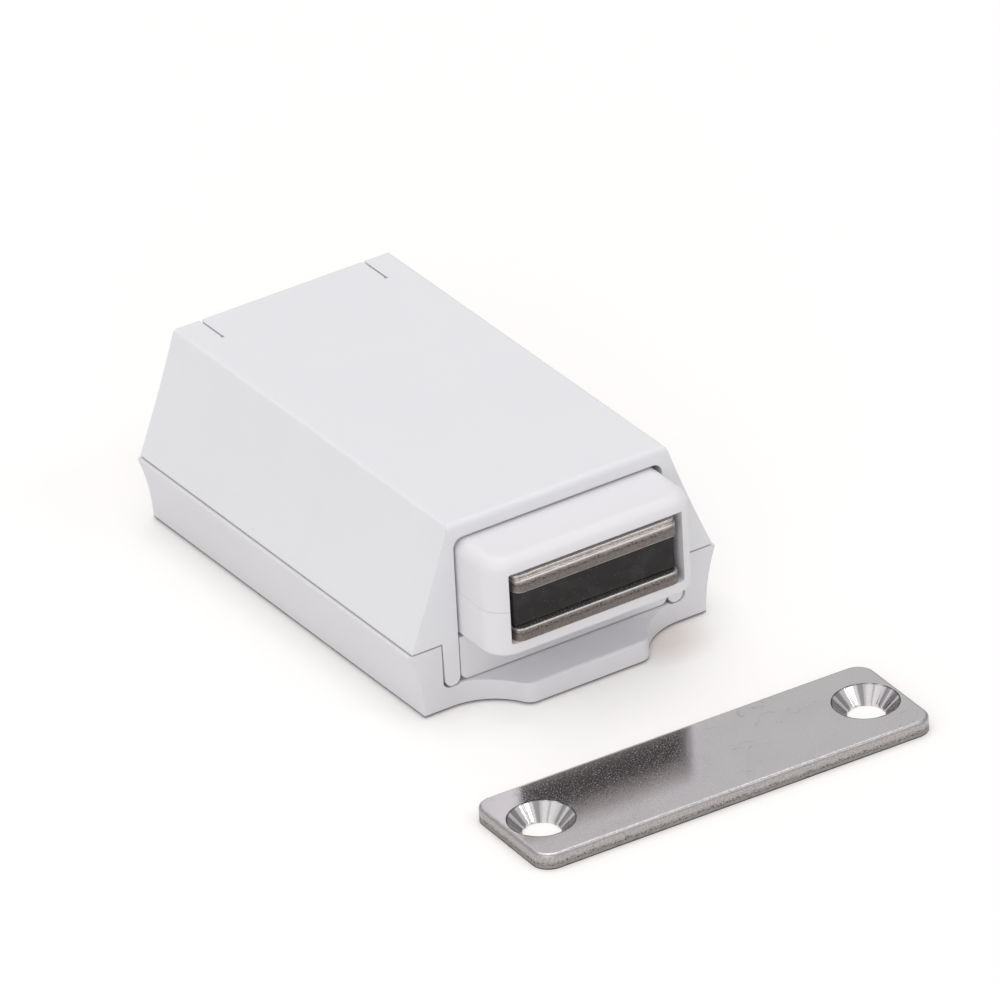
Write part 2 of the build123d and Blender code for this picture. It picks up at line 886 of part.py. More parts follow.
def build():
    """Every piece of the latch, by name."""
    upper_pole = pole_plate(pole_front, pole_rear, magnet_top, backing_bottom)
    backing = pole_plate(pole_front + backing_setback, pole_rear, backing_bottom, backing_top)
    lower_pole = pole_plate(pole_front, pole_rear, pole_bottom, magnet_bottom)
    return {
        "base": base(),
        "cover": cover(),
        "guide_frame": guide_frame(),
        "left_return_spring": coil_spring(-spring_x),
        "right_return_spring": coil_spring(spring_x),
        "left_spring_rod": spring_rod(-spring_x),
        "right_spring_rod": spring_rod(spring_x),
        "follower_leaf_spring": follower_leaf_spring(),
        "bump_pads": bump_pads(),
        "frame_screws": frame_screws(),
        "strike_plate": strike_plate(),
        "plunger_lower_shell": plunger_lower_shell(),
        "plunger_upper_shell": plunger_upper_shell(),
        "magnet": magnet(),
        "upper_pole_plate": upper_pole,
        "upper_backing_plate": backing,
        "lower_pole_plate": lower_pole,
        "magnet_pad": magnet_pad(),
        "shell_screws": shell_screws(),
        "cam_follower": cam_follower(),
    }


os.makedirs("parts", exist_ok=True)
for name, piece in build().items():
    export_step(piece, "parts/" + name + ".step")
    print(name, len(piece.solids()), round(piece.volume, 1))
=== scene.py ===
# %% [markdown]
# # Dressing a magnetic touch latch
#
# The imported CAD model comes in as a fixed frame, in metres: +Z up from the cabinet's
# face, +Y from the latch's front to its rear, the strike plate lying in front.
# Everything that is added here is placed by that frame; the pieces given a body move with it.

# %% Load the frame
import math

import bmesh
import bpy
import numpy as np
from mathutils import Matrix, Vector
from mathutils.geometry import delaunay_2d_cdt


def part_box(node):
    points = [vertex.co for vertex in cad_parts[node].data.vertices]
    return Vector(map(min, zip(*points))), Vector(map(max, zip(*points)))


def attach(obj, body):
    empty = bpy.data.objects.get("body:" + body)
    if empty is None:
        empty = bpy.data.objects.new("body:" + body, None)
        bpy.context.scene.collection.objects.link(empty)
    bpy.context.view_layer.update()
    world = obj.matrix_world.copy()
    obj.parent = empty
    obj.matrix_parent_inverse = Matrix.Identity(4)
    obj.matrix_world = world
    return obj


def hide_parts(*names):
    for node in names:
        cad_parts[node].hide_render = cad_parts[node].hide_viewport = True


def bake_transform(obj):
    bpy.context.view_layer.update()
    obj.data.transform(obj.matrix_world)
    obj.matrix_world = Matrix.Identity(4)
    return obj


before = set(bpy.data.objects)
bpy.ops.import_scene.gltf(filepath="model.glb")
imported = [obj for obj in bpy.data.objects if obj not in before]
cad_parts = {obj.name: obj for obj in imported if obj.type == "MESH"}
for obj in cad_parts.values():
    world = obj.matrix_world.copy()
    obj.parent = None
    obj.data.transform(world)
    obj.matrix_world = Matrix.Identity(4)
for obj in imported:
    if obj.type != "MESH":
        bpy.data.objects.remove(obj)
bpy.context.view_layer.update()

MM = 0.001

# %% [markdown]
# ## The camera
#
# The photograph is taken with a long lens from the front left, thirty degrees up. A
# long lens keeps parallel edges parallel, which is how the camera's direction can
# be worked out from the plate's and the housing's edges. The roll is the small
# tilt that those edges left over.

# %% Camera
azimuth = math.radians(31.80)
elevation = math.radians(29.945)
roll = math.radians(-3.143)
aim = np.array([-0.000922, 0.011268, 0.017762])
distance = 1.77

forward = np.array([
    math.sin(azimuth) * math.cos(elevation),
    math.cos(azimuth) * math.cos(elevation),
    -math.sin(elevation),
])
level_right = np.array([math.cos(azimuth), -math.sin(azimuth), 0.0])
level_up = np.cross(level_right, forward)
right = level_right * math.cos(roll) + level_up * math.sin(roll)
up = np.cross(right, forward)

camera_data = bpy.data.cameras.new("camera")
camera_data.lens = 542.02
camera_data.sensor_width = 36.0
camera_data.clip_end = 50.0
camera = bpy.data.objects.new("camera", camera_data)
bpy.context.scene.collection.objects.link(camera)
place = Matrix.Identity(4)
for row in range(3):
    place[row][0] = right[row]
    place[row][1] = up[row]
    place[row][2] = -forward[row]
    place[row][3] = aim[row] - distance * forward[row]
camera.matrix_world = place
bpy.context.scene.camera = camera
print("camera at", [round(v, 4) for v in place.col[3][:3]])

# %% [markdown]
# ## A short way to write node trees
#
# A material here is a list of steps: coordinates, patterns, a shader. Each step
# takes plain values or another step's output, so the text reads in the order in
# which the surface is worked out.

# %% Node helpers
class Steps:
    """Adds nodes to one tree and joins them up."""

    def __init__(self, tree):
        self.tree = tree

    def add(self, kind, inputs=None, **settings):
        """A new node with its settings made and its inputs filled or joined."""
        node = self.tree.nodes.new(kind)
        for key, value in settings.items():
            setattr(node, key, value)
        for key, value in (inputs or {}).items():
            self.join(value, node.inputs[key])
        return node

    def join(self, value, socket):
        """Joins an output to the socket, or writes a plain value in it."""
        if isinstance(value, bpy.types.NodeSocket):
            self.tree.links.new(value, socket)
        else:
            socket.default_value = value

    def sum(self, kind, a, b=0.0, c=0.0):
        """One step of arithmetic on single values."""
        return self.add("ShaderNodeMath", {0: a, 1: b, 2: c}, operation=kind).outputs[0]

    def noise(self, where, scale, detail=2.0, rough=0.5, spread=0.0):
        """Smooth noise from 0 to 1, with scale patches to each unit of length."""
        node = self.add(
            "ShaderNodeTexNoise",
            {"Vector": where, "Scale": scale, "Detail": detail, "Roughness": rough, "Distortion": spread},
        )
        return node.outputs["Fac"]

    def between(self, value, low, high, to_low=0.0, to_high=1.0):
        """Stretches the part of a value from low to high over another range, and clips it."""
        node = self.add(
            "ShaderNodeMapRange",
            {"Value": value, "From Min": low, "From Max": high, "To Min": to_low, "To Max": to_high},
        )
        return node.outputs["Result"]

    def blend(self, share, first, second):
        """A colour between two colours."""
        node = self.add("ShaderNodeMix", {"Factor": share}, data_type="RGBA")
        self.join(first, node.inputs[6])
        self.join(second, node.inputs[7])
        return node.outputs[2]

    def blend_values(self, share, first, second):
        """A value between two values."""
        node = self.add("ShaderNodeMix", {"Factor": share}, data_type="FLOAT")
        self.join(first, node.inputs[2])
        self.join(second, node.inputs[3])
        return node.outputs[0]

    def parts(self, vector):
        """The x, y and z of a vector."""
        return self.add("ShaderNodeSeparateXYZ", {0: vector}).outputs

    def distance(self, where, point):
        """How far a place is from a point."""
        node = self.add("ShaderNodeVectorMath", {0: where, 1: point}, operation="DISTANCE")
        return node.outputs["Value"]

    def stretch(self, vector, x, y, z):
        """A vector with each of its directions scaled."""
        node = self.add("ShaderNodeVectorMath", {0: vector, 1: (x, y, z)}, operation="MULTIPLY")
        return node.outputs[0]


def new_group(name, inputs, outputs):
    """An empty shader group with its sockets, and the steps to fill it with."""
    group = bpy.data.node_groups.new(name, "ShaderNodeTree")
    for socket, kind in inputs:
        group.interface.new_socket(socket, in_out="INPUT", socket_type=kind)
    for socket, kind in outputs:
        group.interface.new_socket(socket, in_out="OUTPUT", socket_type=kind)
    steps = Steps(group)
    return group, steps, steps.add("NodeGroupInput").outputs, steps.add("NodeGroupOutput").inputs


def use_group(steps, group, inputs):
    """Puts a shared group into a tree and gives its outputs."""
    node = steps.add("ShaderNodeGroup", node_tree=group)
    for key, value in inputs.items():
        steps.join(value, node.inputs[key])
    return node.outputs


def new_material(name):
    """An empty material with a shader, and the steps to fill it with."""
    material = bpy.data.materials.new(name)
    material.use_nodes = True
    tree = material.node_tree
    tree.nodes.clear()
    steps = Steps(tree)
    shader = steps.add("ShaderNodeBsdfPrincipled")
    steps.add("ShaderNodeOutputMaterial", {"Surface": shader.outputs[0]})
    return material, steps, shader


def in_mm(steps):
    """Where a point lies on its object, in millimetres."""
    coords = steps.add("ShaderNodeTexCoord").outputs["Object"]
    return steps.stretch(coords, 1000.0, 1000.0, 1000.0)


FLOAT = "NodeSocketFloat"
VECTOR = "NodeSocketVector"

# %% [markdown]
# ## Effects that several surfaces share
#
# A moulded face carries the grain that was spark-eroded into its mould, a field of
# tiny rounded pits. It could be modelled, but it is a hundredth of a millimetre
# deep, so a bump does it. The group adds slow patches where the melt flowed.

# %% Eroded grain
eroded, s, given, out = new_group(
    "eroded_grain",
    [("Place", VECTOR), ("Grain", FLOAT)],
    [("Height", FLOAT), ("Patches", FLOAT)],
)
fine = s.noise(given["Place"], given["Grain"], detail=3.0, rough=0.62)
coarse = s.noise(given["Place"], s.sum("MULTIPLY", given["Grain"], 0.31), detail=2.0)
s.join(s.sum("ADD", s.sum("MULTIPLY", fine, 0.65), s.sum("MULTIPLY", coarse, 0.35)), out["Height"])
s.join(s.noise(given["Place"], 0.055, detail=2.0, rough=0.55, spread=0.4), out["Patches"])
print("grain group made")

# %% [markdown]
# A moulded or stamped edge is never quite sharp. Rounding every edge of the mesh
# would cost many faces; the Bevel node rounds the shading alone, and where the
# rounded direction leaves the true one there is an edge, which gives a mask.

# %% Soft edges
soft_edge, s, given, out = new_group(
    "soft_edge",
    [("Width", FLOAT)],
    [("Normal", VECTOR), ("Mask", FLOAT)],
)
rounded = s.add("ShaderNodeBevel", {"Radius": given["Width"]}, samples=4).outputs[0]
true_normal = s.add("ShaderNodeNewGeometry").outputs["Normal"]
agree = s.add("ShaderNodeVectorMath", {0: rounded, 1: true_normal}, operation="DOT_PRODUCT").outputs["Value"]
s.join(rounded, out["Normal"])
s.join(s.between(agree, 0.999, 0.90), out["Mask"])
print("edge group made")

# %% [markdown]
# When a plate is punched from sheet, the die first slides through and burnishes a
# bright band, and then the metal tears, which leaves a rough band below it with
# dark pits. Upright scratches run through both. The bands' border wanders; the
# value Burnished raises it, in millimetres.

# %% Sheared walls
sheared, s, given, out = new_group(
    "sheared_wall",
    [("Along", FLOAT), ("Up", FLOAT), ("Burnished", FLOAT)],
    [(key, FLOAT) for key in ("Height", "Tear", "Border", "Pits", "Streaks", "Grains")],
)
flat = s.add("ShaderNodeCombineXYZ", {0: given["Along"], 1: given["Up"]}).outputs[0]
streaks = s.noise(s.stretch(flat, 7.0, 0.8, 1.0), 1.0, detail=3.0, rough=0.7)
grains = s.noise(s.stretch(flat, 3.4, 5.0, 1.0), 1.0, detail=4.0, rough=0.75)
wander = s.sum("MULTIPLY", s.noise(s.stretch(flat, 0.9, 0.0, 1.0), 1.0, detail=3.0), 0.7)
below = s.sum("SUBTRACT", s.sum("ADD", given["Burnished"], wander), given["Up"])
tear = s.between(below, 0.30, 0.42)
s.join(s.sum("ADD", s.sum("MULTIPLY", streaks, 0.6), s.sum("MULTIPLY", grains, tear)), out["Height"])
s.join(tear, out["Tear"])
s.join(s.sum("MULTIPLY", s.between(below, 0.05, 0.2), s.between(below, 0.75, 0.5)), out["Border"])
s.join(s.between(grains, 0.52, 0.56), out["Pits"])
s.join(grains, out["Grains"])
s.join(streaks, out["Streaks"])
print("sheared wall group made")

# %% [markdown]
# A countersink is turned by a drill whose edge chatters, so its cone is made of
# facets, crossed by fine rings. The chatter is a small bump; the facets' changing
# brightness is painted into the colour as painted reflection, with a painted dark
# line round the rim. The facets are noise read from the direction seen from the
# hole's middle, so they run outwards and have no seam.

# %% Countersinks
turned_sink, s, given, out = new_group(
    "turned_sink",
    [("Place", VECTOR), ("Centre", VECTOR), ("Radius", FLOAT)],
    [("Height", FLOAT), ("Shade", FLOAT)],
)
off = s.add("ShaderNodeVectorMath", {0: given["Place"], 1: given["Centre"]}, operation="SUBTRACT").outputs[0]
level = s.stretch(off, 1.0, 1.0, 0.0)
far = s.add("ShaderNodeVectorMath", {0: level}, operation="LENGTH").outputs["Value"]
way = s.add("ShaderNodeVectorMath", {0: level}, operation="NORMALIZE").outputs[0]
facets = s.noise(s.stretch(way, 3.2, 3.2, 0.0), 1.0, detail=2.0, rough=0.4)
inside = s.sum("LESS_THAN", far, given["Radius"])
rings = s.sum("MULTIPLY", s.sum("SINE", s.sum("MULTIPLY", far, 42.0)), 0.0012 * MM)
chatter = s.sum("MULTIPLY", s.between(facets, 0.35, 0.65), 0.10 * MM)
s.join(s.sum("MULTIPLY", inside, s.sum("ADD", rings, chatter)), out["Height"])
from_rim = s.sum("ABSOLUTE", s.sum("SUBTRACT", far, given["Radius"]))
# The rim's dark line and the darker facets are painted shade and painted reflection in the colour.
painted_rim_shade = s.sum("MULTIPLY", s.between(from_rim, 0.13, 0.05), s.between(facets, 0.30, 0.55, 0.35, 0.95))
painted_facet_shade = s.sum("MULTIPLY", inside, s.between(facets, 0.47, 0.56, 0.0, 0.62))
s.join(s.sum("MAXIMUM", painted_rim_shade, painted_facet_shade), out["Shade"])
print("countersink group made")

# %% [markdown]
# Sintered ferrite shows scattered points, dust and open pores. Cells with one point
# each, cut off at a small distance, scatter them evenly enough; the cell's own
# random colour thins them out.

# %% Specks
specks, s, given, out = new_group(
    "specks",
    [("Place", VECTOR), ("Per mm", FLOAT), ("Size", FLOAT), ("Share", FLOAT)],
    [("Mask", FLOAT)],
)
cells = s.add("ShaderNodeTexVoronoi", {"Vector": given["Place"], "Scale": given["Per mm"], "Randomness": 1.0})
near_point = s.sum("LESS_THAN", cells.outputs["Distance"], given["Size"])
chosen = s.sum("LESS_THAN", s.parts(cells.outputs["Color"])[0], given["Share"])
s.join(s.sum("MULTIPLY", near_point, chosen), out["Mask"])
print("groups:", [g.name for g in bpy.data.node_groups])

# %% [markdown]
# ## Moulded plastics
#
# The cover and the plunger are the same off-white, the base and the guide frame a
# batch that is a touch darker. All have a satin grain. The edges of the base and
# the plunger carry a painted highlight, so they are paler; a little light enters
# all the plastic, which keeps the edges from looking like card. The rebate round
# the foot of the base is darkened with a painted shadow.

# %% Plastic materials
EDGE_HIGHLIGHT_COLOUR = (0.95, 0.95, 0.96, 1.0)
PAINTED_FOOT_SHADOW = (0.17, 0.15, 0.14, 1.0)


def plastic(name, colour, deep, rough, grain=9.0, depth=0.018, painted_edge_highlight=0.0, painted_shadow_height=-1.0):
    """A moulded satin plastic: grain in the surface, faint flow patches below it.

    Below the given height, in millimetres, a painted shadow darkens the plastic.
    """
    material, s, shader = new_material(name)
    place = in_mm(s)
    skin = use_group(s, eroded, {"Place": place, "Grain": grain})
    edge = use_group(s, soft_edge, {"Width": 0.14 * MM})
    patch = s.between(skin["Patches"], 0.35, 0.65)
    mottled = s.blend(s.sum("MULTIPLY", patch, 0.35), colour, deep)
    # The edges are lightened towards near-white as a painted highlight.
    lit = s.blend(s.sum("MULTIPLY", edge["Mask"], painted_edge_highlight), mottled, EDGE_HIGHLIGHT_COLOUR)
    # Below that height the colour is darkened as a painted shadow along the foot.
    low = s.between(s.parts(place)[2], painted_shadow_height + 0.04, painted_shadow_height)
    s.join(s.blend(low, lit, PAINTED_FOOT_SHADOW), shader.inputs["Base Color"])
    grainy = s.between(skin["Height"], 0.3, 0.7, rough - 0.06, rough + 0.06)
    shine = s.sum("ADD", grainy, s.between(patch, 0.0, 1.0, -0.03, 0.03))
    s.join(shine, shader.inputs["Roughness"])
    bump = s.add(
        "ShaderNodeBump",
        {"Strength": 0.55, "Distance": depth * MM, "Height": skin["Height"], "Normal": edge["Normal"]},
    )
    s.join(bump.outputs[0], shader.inputs["Normal"])
    shader.inputs["IOR"].default_value = 1.5
    shader.inputs["Subsurface Weight"].default_value = 0.12
    shader.inputs["Subsurface Radius"].default_value = (1.0, 0.9, 0.85)
    shader.inputs["Subsurface Scale"].default_value = 0.6 * MM
    return material


cover_plastic = plastic("cover_plastic", (0.80, 0.80, 0.825, 1.0), (0.77, 0.77, 0.80, 1.0), 0.46)
# The plunger and the base take a painted highlight on their edges; the base also a painted shadow at its
# foot.
plunger_plastic = plastic(
    "plunger_plastic", (0.805, 0.79, 0.815, 1.0), (0.78, 0.765, 0.79, 1.0), 0.38, grain=7.0, depth=0.008,
    painted_edge_highlight=0.7,
)
base_plastic = plastic(
    "base_plastic", (0.76, 0.755, 0.78, 1.0), (0.735, 0.73, 0.755, 1.0), 0.44, painted_edge_highlight=0.6, painted_shadow_height=0.37
)
frame_plastic = plastic("frame_plastic", (0.77, 0.765, 0.78, 1.0), (0.745, 0.74, 0.755, 1.0), 0.42)
print("plastics made")

# %% [markdown]
# ## Wire, screws and rubber
#
# Inside the housing are drawn spring wire, plated screws and rubber pads. They show
# only through the gaps and when the plunger is out, but they are finished too: the
# metals mottled with brighter edges, the rubber dull and grainy.

# %% Drawn and turned metal
def metal(name, colour, deep, rough, mottle=5.0, depth=0.010):
    """A plain metal: mottled roughness, faint colour patches and brighter edges."""
    material, s, shader = new_material(name)
    place = in_mm(s)
    fine = s.noise(place, mottle, detail=4.0, rough=0.65)
    patch = s.noise(place, 0.35, detail=3.0)
    edge = use_group(s, soft_edge, {"Width": 0.08 * MM})
    tone = s.blend(s.between(patch, 0.35, 0.7), colour, deep)
    s.join(s.blend(s.sum("MULTIPLY", edge["Mask"], 0.5), tone, colour), shader.inputs["Base Color"])
    s.join(s.between(fine, 0.3, 0.7, rough * 0.8, rough * 1.3), shader.inputs["Roughness"])
    bump = s.add(
        "ShaderNodeBump",
        {"Strength": 0.5, "Distance": depth * MM, "Height": fine, "Normal": edge["Normal"]},
    )
    s.join(bump.outputs[0], shader.inputs["Normal"])
    shader.inputs["Metallic"].default_value = 1.0
    return material


spring_wire = metal("spring_wire", (0.45, 0.44, 0.43, 1.0), (0.36, 0.35, 0.35, 1.0), 0.30)
screw_steel = metal("screw_steel", (0.55, 0.53, 0.50, 1.0), (0.45, 0.43, 0.41, 1.0), 0.28)
print("wire and screw steel made")

# %% Rubber
rubber, s, shader = new_material("black_rubber")
skin = use_group(s, eroded, {"Place": in_mm(s), "Grain": 8.0})
black = s.blend(skin["Height"], (0.018, 0.018, 0.018, 1.0), (0.032, 0.032, 0.032, 1.0))
s.join(black, shader.inputs["Base Color"])
s.join(s.between(skin["Patches"], 0.3, 0.7, 0.58, 0.74), shader.inputs["Roughness"])
bump = s.add("ShaderNodeBump", {"Strength": 0.6, "Distance": 0.01 * MM, "Height": skin["Height"]})
s.join(bump.outputs[0], shader.inputs["Normal"])
print("rubber made")

# %% [markdown]
# ## Stamped and plated metal
#
# The strike plate and the pole plates are punched from sheet and then plated. Their
# meshes, made below, carry three numbers at each point: how far along the outline
# it is, how high it is, and how much it belongs to the sheared wall. A pattern that
# is drawn on those numbers follows the wall round every corner. The rolled corner
# above the wall is rubbed duller, and thin stains run over the flat face.

# %% Stamped metal
def stamped(
    name, face, rough, wall_dark, wall_light, wall_rough, burnished, streaky, worn, painted_shadow_height=0.01,
    rubbed_up_to=0.2, sinks=(),
):
    """A bright plated face with a duller sheared wall, streaked and torn.

    A painted shadow darkens the wall's last bit above the ground, up to the given
    height. The rolled corner is rubbed from where its share of wall reaches
    rubbed_up_to, as much as worn says.
    Each of the sinks is the middle of a countersink.
    """
    material, s, shader = new_material(name)
    place = in_mm(s)
    wall, along, up = [s.add("ShaderNodeAttribute", attribute_name=key).outputs["Fac"] for key in WALL_KEYS]
    cut = use_group(s, sheared, {"Along": along, "Up": up, "Burnished": burnished})
    nodule = s.between(s.noise(place, 6.0, detail=2.0), 0.58, 0.68)
    peel = s.noise(place, 3.6, detail=3.0, rough=0.6)
    patch = s.between(s.noise(place, 0.22, detail=3.0), 0.35, 0.7)
    plated = s.blend(s.sum("MULTIPLY", patch, 0.5), face, darker(face, 0.94))
    edge_of_stain = s.sum("ABSOLUTE", s.sum("SUBTRACT", s.noise(place, 0.17, detail=4.0, spread=0.5), 0.5))
    stain = s.sum("MULTIPLY", s.between(edge_of_stain, 0.006, 0.0), s.between(patch, 0.35, 0.75, 0.0, 0.55))
    top = s.blend(stain, plated, darker(face, 0.6))

    grey = s.between(s.blend_values(streaky, cut["Grains"], cut["Streaks"]), 0.38, 0.60)
    burnished_tone = s.blend(grey, wall_dark, wall_light)
    torn_tone = s.blend(s.sum("MULTIPLY", cut["Tear"], 0.6), burnished_tone, wall_dark)
    # This near-black darkens the real pits, and is also the painted shadow at the wall's foot.
    pits_and_painted_shadow = darker(wall_dark, 0.2)
    pitted = s.blend(s.sum("MULTIPLY", cut["Pits"], cut["Border"]), torn_tone, pits_and_painted_shadow)
    bent = s.between(wall, 0.0, rubbed_up_to)
    rubbed = s.sum("MULTIPLY", bent, s.between(cut["Grains"], 0.40, 0.60, 0.5 * worn, worn))
    bent_top = s.blend(rubbed, top, darker(wall_light, 0.5))
    # Below the given height the wall is darkened as a painted shadow.
    colour = s.blend(wall, bent_top, s.blend(s.between(up, painted_shadow_height, painted_shadow_height * 0.5), pitted, pits_and_painted_shadow))

    peeled = s.between(peel, 0.3, 0.7, rough * 0.8, rough * 1.25)
    top_rough = s.sum("MULTIPLY_ADD", nodule, 0.16, peeled)
    cut_rough = s.sum("MULTIPLY_ADD", cut["Tear"], 0.18, wall_rough)
    s.join(s.blend_values(bent, top_rough, cut_rough), shader.inputs["Roughness"])

    height = s.sum("MULTIPLY", cut["Height"], s.sum("MULTIPLY", bent, 0.03 * MM))
    height = s.sum("MULTIPLY_ADD", peel, 0.0024 * MM, height)
    height = s.sum("MULTIPLY_ADD", nodule, 0.0022 * MM, height)
    for centre in sinks:
        sink = use_group(s, turned_sink, {"Place": place, "Centre": centre, "Radius": SINK_RADIUS})
        height = s.sum("ADD", height, sink["Height"])
        # The countersink's painted reflection and painted rim shade darken the colour here.
        colour = s.blend(sink["Shade"], colour, darker(face, 0.12))
    s.join(colour, shader.inputs["Base Color"])
    bump = s.add("ShaderNodeBump", {"Strength": 1.0, "Distance": 1.0, "Height": height})
    s.join(bump.outputs[0], shader.inputs["Normal"])
    shader.inputs["Metallic"].default_value = 1.0
    return material


def darker(colour, share):
    """A share of a colour."""
    return tuple(c * share for c in colour[:3]) + (1.0,)


WALL_KEYS = ("wall", "along", "up")
SINK_RADIUS = 4.02
HOLE_FROM_MIDDLE = 22.3
strike_middle = np.array([-0.87, -30.44])
strike_turn = math.radians(-1.72)
strike_way = np.array([math.cos(strike_turn), math.sin(strike_turn)])
strike_holes = [strike_middle + side * HOLE_FROM_MIDDLE * strike_way for side in (-1, 1)]
print("countersinks at", [tuple(np.round(p, 2)) for p in strike_holes])

# %% Plate finishes
# The strike plate's wall carries a painted shadow at its foot, and its countersinks painted reflection and
# shade.
plated_zinc = stamped(
    "bright_plated_steel",
    (0.86, 0.83, 0.85, 1.0), 0.125,
    (0.34, 0.32, 0.315, 1.0), (0.62, 0.592, 0.582, 1.0), 0.32,
    burnished=0.75, streaky=0.25, worn=0.95, painted_shadow_height=0.22, rubbed_up_to=0.07,
    sinks=[(float(p[0]), float(p[1]), 0.0) for p in strike_holes],
)
plated_nickel = stamped(
    "nickel_plated_steel",
    (0.94, 0.91, 0.885, 1.0), 0.16,
    (0.18, 0.155, 0.143, 1.0), (0.52, 0.485, 0.465, 1.0), 0.32,
    burnished=1.2, streaky=0.2, worn=0.2,
)
# The thin backing plate's wall is painted lighter than the thick plates', as painted light where it sits in
# shade under the window's brow.
lightened_thin_nickel = stamped(
    "nickel_sheet_painted_lighter",
    (0.94, 0.91, 0.885, 1.0), 0.16,
    (0.42, 0.39, 0.365, 1.0), (0.66, 0.62, 0.59, 1.0), 0.26,
    burnished=0.0, streaky=0.3, worn=0.2,
)
print("plated finishes made")

# %% [markdown]
# ## Ferrite
#
# The magnet is a sintered ferrite block: nearly black, a little brown, with cloudy
# grey bloom left by handling and a scatter of pale dust and dark open pores.

# %% Ferrite
ferrite, s, shader = new_material("sintered_ferrite")
place = in_mm(s)
skin = use_group(s, eroded, {"Place": place, "Grain": 6.0})
bloom = s.between(s.noise(place, 0.32, detail=5.0, rough=0.68, spread=0.8), 0.48, 0.72)
dust = use_group(s, specks, {"Place": place, "Per mm": 2.4, "Size": 0.17, "Share": 0.28})["Mask"]
apart = s.stretch(place, 1.3, 1.3, 1.3)
pores = use_group(s, specks, {"Place": apart, "Per mm": 2.0, "Size": 0.2, "Share": 0.4})["Mask"]
black = s.blend(skin["Height"], (0.010, 0.009, 0.009, 1.0), (0.022, 0.020, 0.020, 1.0))
clouded = s.blend(s.sum("MULTIPLY", bloom, 0.5), black, (0.060, 0.058, 0.057, 1.0))
pored = s.blend(s.sum("MULTIPLY", pores, 0.7), clouded, (0.008, 0.008, 0.008, 1.0))
s.join(s.blend(s.sum("MULTIPLY", dust, 0.5), pored, (0.16, 0.15, 0.145, 1.0)), shader.inputs["Base Color"])
s.join(s.between(bloom, 0.0, 1.0, 0.46, 0.62), shader.inputs["Roughness"])
pitted = s.sum("SUBTRACT", skin["Height"], s.sum("MULTIPLY", pores, 0.6))
bump = s.add("ShaderNodeBump", {"Strength": 0.7, "Distance": 0.02 * MM, "Height": pitted})
s.join(bump.outputs[0], shader.inputs["Normal"])
shader.inputs["Specular IOR Level"].default_value = 0.35
print("ferrite made")

# %% [markdown]
# ## Materials on the CAD nodes
#
# The mouldings, rods, screws and pads have their true shape already, so each keeps
# its mesh and takes the finish of the real piece. The plates, the magnet and the
# return springs get a finish too, which shows nowhere, because new pieces stand for
# them below.

# %% Assign materials
finishes = {
    "base": base_plastic,
    "cover": cover_plastic,
    "guide_frame": frame_plastic,
    "plunger_lower_shell": plunger_plastic,
    "plunger_upper_shell": plunger_plastic,
    "magnet": ferrite,
    "upper_pole_plate": plated_nickel,
    "upper_backing_plate": lightened_thin_nickel,
    "lower_pole_plate": plated_nickel,
    "magnet_pad": rubber,
    "bump_pads": rubber,
    "left_return_spring": spring_wire,
    "right_return_spring": spring_wire,
    "left_spring_rod": spring_wire,
    "right_spring_rod": spring_wire,
    "follower_leaf_spring": spring_wire,
    "cam_follower": spring_wire,
    "frame_screws": screw_steel,
    "shell_screws": screw_steel,
    "strike_plate": plated_zinc,
}
for name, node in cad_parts.items():
    node.data.materials.clear()
    node.data.materials.append(finishes[name])
print("dressed:", len(finishes), "nodes")

# %% [markdown]
# ## Plates punched from sheet
#
# A punched plate is a profile carried round an outline. The outline is worked out
# from the length walked along it, so its points are evenly spaced. The profile is
# the section through a punched edge: a small burr corner below, the wall, and the
# wide soft corner above, where the sheet was pulled down before it parted. A Bevel
# modifier would round both corners alike; a profile can make them differ.

# %% Outline
def plate_outline(low, high, radii, step):
    """Points round a rectangle with rounded corners, the way out at each, and the length walked.

    The walk starts on the front side and goes round with the plate on its left. On a
    side the point moves straight ahead from the side's start. On a corner the heading
    turns by the length walked over the radius, and the point is the corner's centre
    plus the radius times the way out, which is the heading turned right by a quarter.
    """
    (x0, y0), (x1, y1) = low, high
    front_left, front_right, rear_right, rear_left = radii
    quarter = math.pi / 2
    width, depth = x1 - x0, y1 - y0
    radius = np.array([0, front_right, 0, rear_right, 0, rear_left, 0, front_left])
    lengths = radius * quarter
    lengths[0::2] = [
        width - front_left - front_right,
        depth - front_right - rear_right,
        width - rear_right - rear_left,
        depth - rear_left - front_left,
    ]
    anchor = np.array([
        (x0 + front_left, y0), (x1 - front_right, y0 + front_right),
        (x1, y0 + front_right), (x1 - rear_right, y1 - rear_right),
        (x1 - rear_right, y1), (x0 + rear_left, y1 - rear_left),
        (x0, y1 - rear_left), (x0 + front_left, y0 + front_left),
    ])
    ends = np.cumsum(lengths)
    count = round(ends[-1] / step)
    walked = np.arange(count) * ends[-1] / count
    part = np.minimum(np.searchsorted(ends, walked, side="right"), 7)
    gone = walked - (ends - lengths)[part]
    bend = radius[part]
    heading = (part // 2) * quarter + np.where(bend > 0, gone / np.maximum(bend, 1e-9), 0.0)
    way_out = np.stack([np.sin(heading), -np.cos(heading)], 1)
    ahead = np.stack([np.cos(heading), np.sin(heading)], 1)
    moved = np.where(bend[:, None] > 0, way_out * bend[:, None], ahead * gone[:, None])
    return anchor[part] + moved, way_out, walked


RIM = 0.05
ROLL_SHAPE = 0.8


